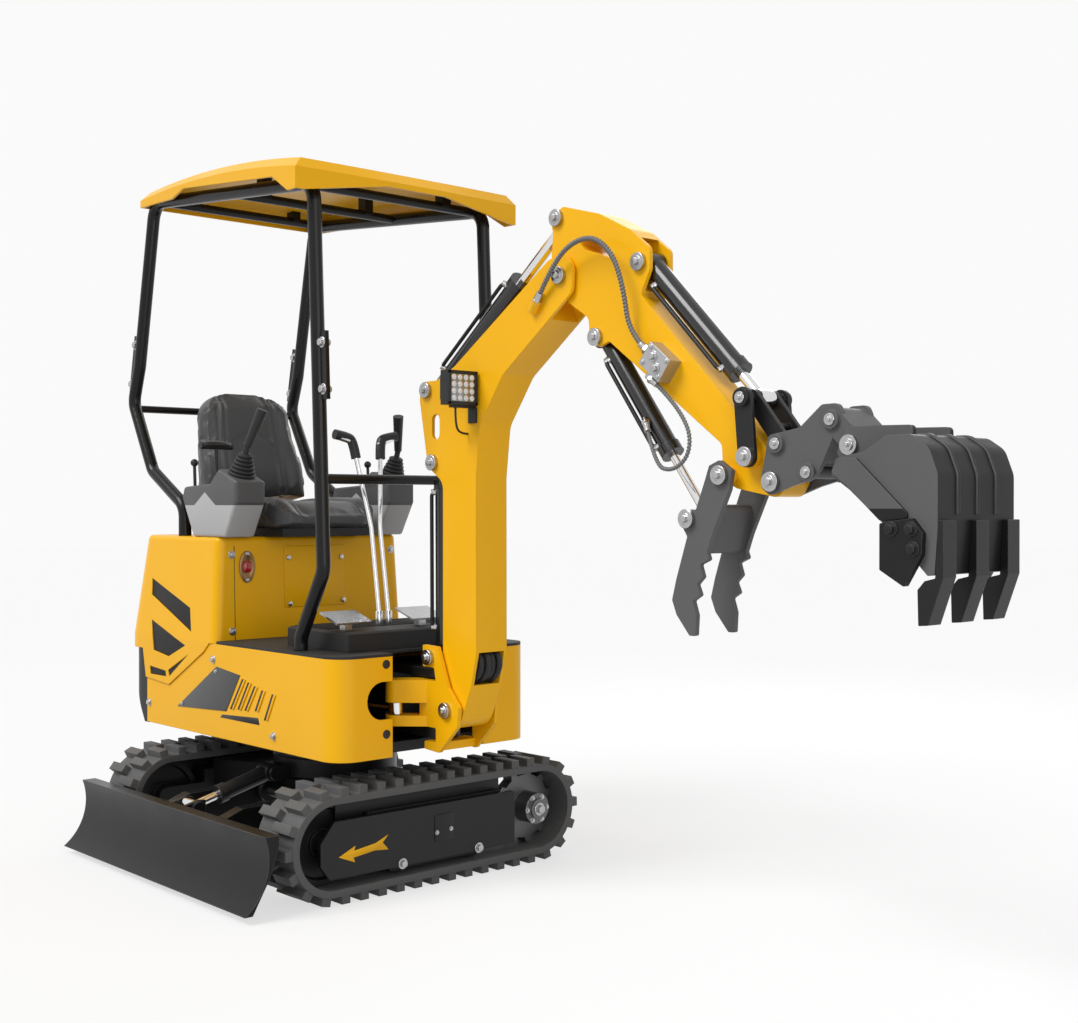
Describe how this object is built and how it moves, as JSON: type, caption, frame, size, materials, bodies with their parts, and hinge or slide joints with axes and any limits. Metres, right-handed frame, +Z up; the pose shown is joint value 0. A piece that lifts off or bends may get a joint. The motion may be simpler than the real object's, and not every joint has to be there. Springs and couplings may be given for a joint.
{
  "type": "mini excavator",
  "caption": "Compact tracked excavator with a canopy, a slewing upper body, a swinging boom, a bucket with a thumb and a dozer blade.",
  "frame": {"origin": "on the ground under the slew axis", "axes": "+X is the travel direction with the blade ahead, +Z is up, and +Y is the way the boom points at rest, a quarter turn to the left of travel"},
  "size_m": [1.1762, 2.9991, 2.0972],
  "materials": {
    "yellow_paint": "gloss",
    "black_paint": "satin",
    "grey_paint": "satin",
    "worn_steel": "worn",
    "chrome_rod": "polished",
    "track_rubber": "matte",
    "seat_vinyl": "satin",
    "grey_plastic": "matte",
    "black_plastic": "satin",
    "bare_aluminium": "satin",
    "hose_rubber": "satin"
  },
  "bodies": {
    "undercarriage": {"track_left": "track_rubber", "track_right": "track_rubber", "sprockets": "worn_steel", "idlers": "black_paint", "rollers": "black_paint", "track_frame": "black_paint"},
    "blade": {"blade": "black_paint"},
    "upper": {"upper_frame": "black_paint", "skirt": "yellow_paint", "cowl": "yellow_paint", "counterweight": "black_paint", "engine": "worn_steel", "floor_deck": "black_paint", "floor_box": "black_paint", "seat_cushion": "seat_vinyl", "seat_back": "seat_vinyl", "seat_base": "black_paint", "console_left": "grey_plastic", "console_right": "grey_plastic", "hand_controls": "black_plastic", "travel_levers": "chrome_rod", "pedals": "chrome_rod", "canopy_frame": "black_paint", "canopy_roof": "yellow_paint"},
    "bracket": {"swing_bracket": "yellow_paint"},
    "boom": {"boom": "yellow_paint", "work_lamp": "black_plastic", "lamp_cable": "hose_rubber", "arm_hose": "hose_rubber"},
    "arm": {"arm": "yellow_paint", "valve_block": "bare_aluminium", "thumb_hose": "hose_rubber"},
    "rocker": {"rocker": "black_paint"},
    "h_link": {"h_link": "grey_paint"},
    "bucket": {"coupler": "grey_paint", "bucket": "grey_paint", "bucket_pin": "worn_steel", "bucket_teeth": "worn_steel"},
    "thumb": {"thumb": "grey_paint"},
    "blade_barrel": {"blade_barrel": "black_paint"},
    "blade_rod": {"blade_rod": "chrome_rod"},
    "swing_barrel": {"swing_barrel": "black_paint"},
    "swing_rod": {"swing_rod": "chrome_rod"},
    "boom_barrel": {"boom_barrel": "black_paint"},
    "boom_rod": {"boom_rod": "chrome_rod"},
    "arm_barrel": {"arm_barrel": "black_paint"},
    "arm_rod": {"arm_rod": "chrome_rod"},
    "bucket_barrel": {"bucket_barrel": "black_paint"},
    "bucket_rod": {"bucket_rod": "chrome_rod"},
    "thumb_barrel": {"thumb_barrel": "black_paint"},
    "thumb_rod": {"thumb_rod": "chrome_rod"}
  },
  "joints": [
    {"name": "slew", "type": "hinge", "parent": "undercarriage", "child": "upper", "pos_m": [0, 0, 0.333], "axis": [0, 0, 1], "continuous": true},
    {"name": "boom_swing", "type": "hinge", "parent": "upper", "child": "bracket", "pos_m": [0, 0.53, 0.503], "axis": [0, 0, 1], "range_deg": [-40, 60]},
    {"name": "boom_lift", "type": "hinge", "parent": "bracket", "child": "boom", "pos_m": [0, 0.641, 0.509], "axis": [1, 0, 0], "range_deg": [-85, 1]},
    {"name": "arm", "type": "hinge", "parent": "boom", "child": "arm", "pos_m": [0, 1.083, 1.659], "axis": [-1, 0, 0], "range_deg": [-38, 42], "deforming": ["arm_hose"]},
    {"name": "bucket", "type": "hinge", "parent": "arm", "child": "bucket", "pos_m": [0, 1.766, 1.128], "axis": [1, 0, 0], "range_deg": [-120, 12]},
    {"name": "thumb", "type": "hinge", "parent": "arm", "child": "thumb", "pos_m": [0, 1.634, 1.144], "axis": [1, 0, 0], "range_deg": [-30, 45]},
    {"name": "blade_lift", "type": "hinge", "parent": "undercarriage", "child": "blade", "pos_m": [0.17, 0, 0.19], "axis": [0, -1, 0], "range_deg": [-22, 25]},
    {"name": "rocker", "type": "hinge", "parent": "arm", "child": "rocker", "pos_m": [0, 1.706, 1.184], "axis": [1, 0, 0], "range_deg": [-88.06, 9.71]},
    {"name": "h_link", "type": "hinge", "parent": "rocker", "child": "h_link", "pos_m": [0, 1.694, 1.316], "axis": [1, 0, 0], "range_deg": [-5.85, 49.46]},
    {"name": "boom_cylinder", "type": "hinge", "parent": "bracket", "child": "boom_barrel", "pos_m": [0, 0.565, 0.65], "axis": [1, 0, 0], "range_deg": [-94.06, 2.1]},
    {"name": "boom_stroke", "type": "slide", "parent": "boom_barrel", "child": "boom_rod", "axis": [0, -0.0055, 1], "range_m": [-0.00538, 0.20513]},
    {"name": "arm_cylinder", "type": "hinge", "parent": "boom", "child": "arm_barrel", "pos_m": [0, 0.534, 1.399], "axis": [-1, 0, 0], "range_deg": [-5.29, 5.74]},
    {"name": "arm_stroke", "type": "slide", "parent": "arm_barrel", "child": "arm_rod", "axis": [0, 0.7874, 0.6164], "range_m": [-0.08697, 0.09581]},
    {"name": "bucket_cylinder", "type": "hinge", "parent": "arm", "child": "bucket_barrel", "pos_m": [0, 1.349, 1.663], "axis": [1, 0, 0], "range_deg": [-1.42, 5.18]},
    {"name": "bucket_stroke", "type": "slide", "parent": "bucket_barrel", "child": "bucket_rod", "axis": [0, 0.7051, -0.7091], "range_m": [-0.02101, 0.18309]},
    {"name": "thumb_cylinder", "type": "hinge", "parent": "arm", "child": "thumb_barrel", "pos_m": [0, 1.201, 1.494], "axis": [1, 0, 0], "range_deg": [-2.81, 3.72], "deforming": ["thumb_hose"]},
    {"name": "thumb_stroke", "type": "slide", "parent": "thumb_barrel", "child": "thumb_rod", "axis": [0, 0.598, -0.8015], "range_m": [-0.06838, 0.10106]},
    {"name": "swing_cylinder", "type": "hinge", "parent": "upper", "child": "swing_barrel", "pos_m": [0.19, 0.02, 0.503], "axis": [0, 0, 1], "range_deg": [-6.77, 4.85]},
    {"name": "swing_stroke", "type": "slide", "parent": "swing_barrel", "child": "swing_rod", "axis": [-0.1644, 0.9864, 0], "range_m": [-0.06892, 0.10189]},
    {"name": "blade_cylinder", "type": "hinge", "parent": "undercarriage", "child": "blade_barrel", "pos_m": [0.238, 0, 0.275], "axis": [0, -1, 0], "range_deg": [-26.63, 30.12]},
    {"name": "blade_stroke", "type": "slide", "parent": "blade_barrel", "child": "blade_rod", "axis": [0.9661, 0, -0.2581], "range_m": [-0.04347, 0.03862]}
  ],
  "couplings": [
    {"joint": "rocker", "follows": "bucket", "ratio": 0.72553},
    {"joint": "h_link", "follows": "bucket", "ratio": -0.4038},
    {"joint": "boom_cylinder", "follows": "boom_lift", "ratio": 1.0949},
    {"joint": "boom_stroke", "follows": "boom_lift", "m_per_rad": -0.13625},
    {"joint": "arm_cylinder", "follows": "arm", "ratio": 0.11283},
    {"joint": "arm_stroke", "follows": "arm", "m_per_rad": 0.12661},
    {"joint": "bucket_cylinder", "follows": "bucket", "ratio": -0.03486},
    {"joint": "bucket_stroke", "follows": "bucket", "m_per_rad": -0.085988},
    {"joint": "thumb_cylinder", "follows": "thumb", "ratio": 0.06048},
    {"joint": "thumb_stroke", "follows": "thumb", "m_per_rad": 0.12486},
    {"joint": "swing_cylinder", "follows": "boom_swing", "ratio": -0.09624},
    {"joint": "swing_stroke", "follows": "boom_swing", "m_per_rad": 0.094429},
    {"joint": "blade_cylinder", "follows": "blade_lift", "ratio": 1.1648},
    {"joint": "blade_stroke", "follows": "blade_lift", "m_per_rad": -0.092758}
  ]
}
